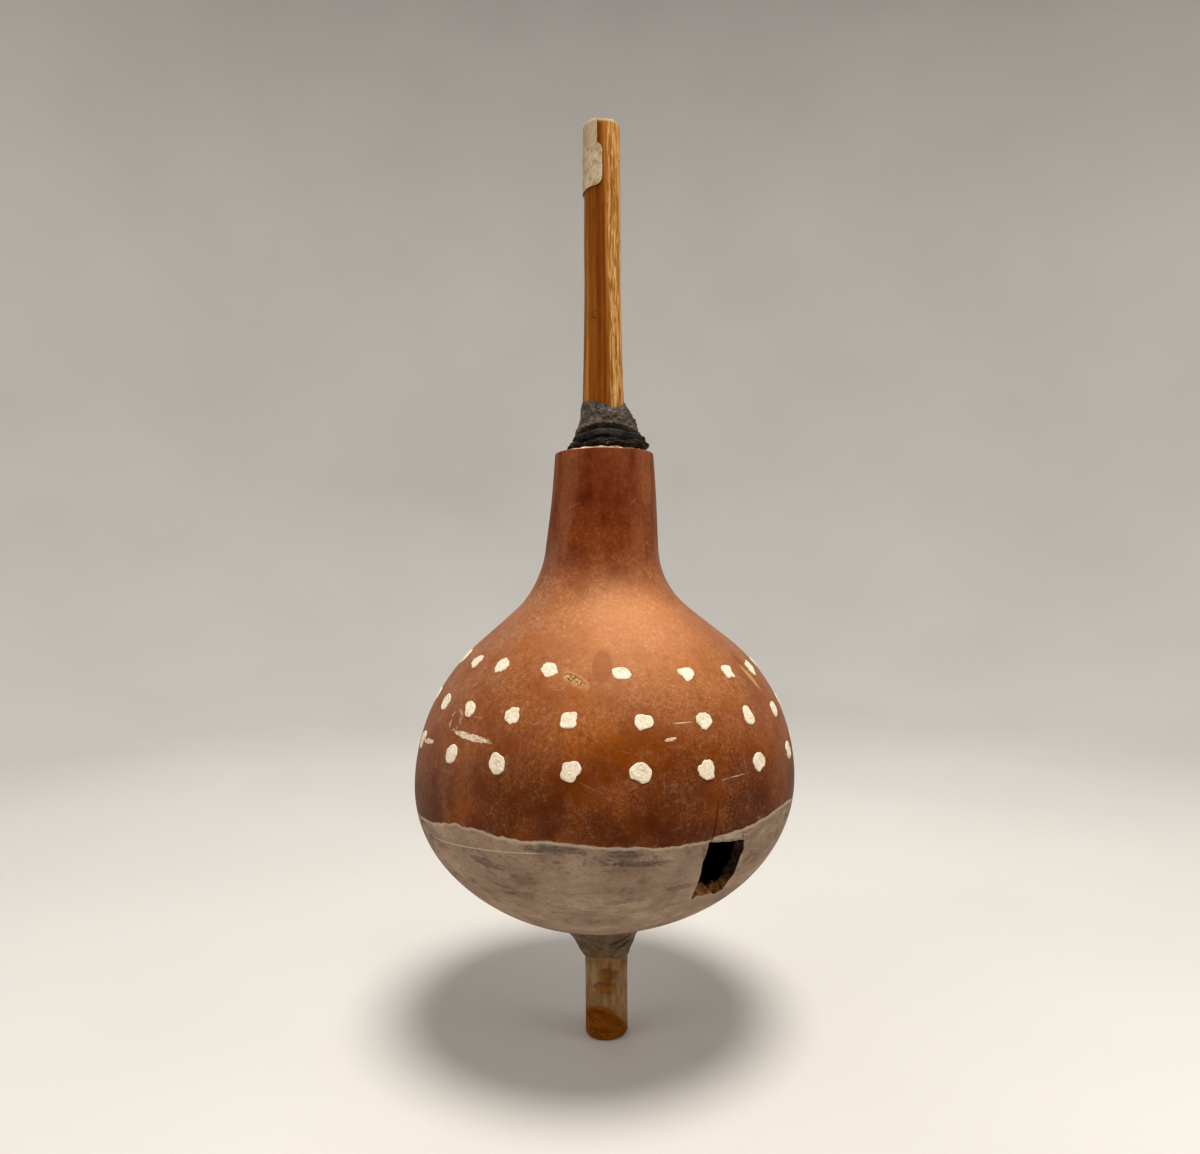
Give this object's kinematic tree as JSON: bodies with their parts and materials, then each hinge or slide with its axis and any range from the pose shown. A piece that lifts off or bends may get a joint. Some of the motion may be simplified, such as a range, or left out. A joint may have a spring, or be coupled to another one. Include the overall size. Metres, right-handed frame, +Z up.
{
  "type": "gourd rattle",
  "caption": "Hollow bottle-gourd rattle on a wooden stick that runs right through it, sealed with pitch, with loose pellets inside and a broken window in the belly.",
  "frame": {"origin": "on the stick's axis at the middle of the bare handle, where a hand holds it", "axes": "+Z up along the stick towards the handle's end; -Y is the side that faces the viewer, with the window to the right of it"},
  "size_m": [0.1482, 0.1482, 0.362],
  "materials": {
    "gourd_rind": "satin orange-brown varnish, lime-white wash on the lower belly",
    "stick_wood": "hand-whittled, honey-coloured, satin",
    "plug_wood": "pale, matte",
    "black_pitch": "dull, wrinkled",
    "cream_paint": "chalky, brushed",
    "label_paper": "aged, matte",
    "pebble": "matte"
  },
  "bodies": {
    "rattle": {"gourd_shell": "gourd_rind", "handle_stick": "stick_wood", "neck_plug": "plug_wood", "pitch_collar": "black_pitch", "foot_collar": "cream_paint", "upper_label": "label_paper", "lower_label": "label_paper"},
    "pellet_charge": {"pellets": "pebble"}
  },
  "joints": [
    {"name": "pellet_swirl", "type": "hinge", "parent": "rattle", "child": "pellet_charge", "pos_m": [0, 0, -0.25], "axis": [0, 0, 1], "continuous": true}
  ]
}
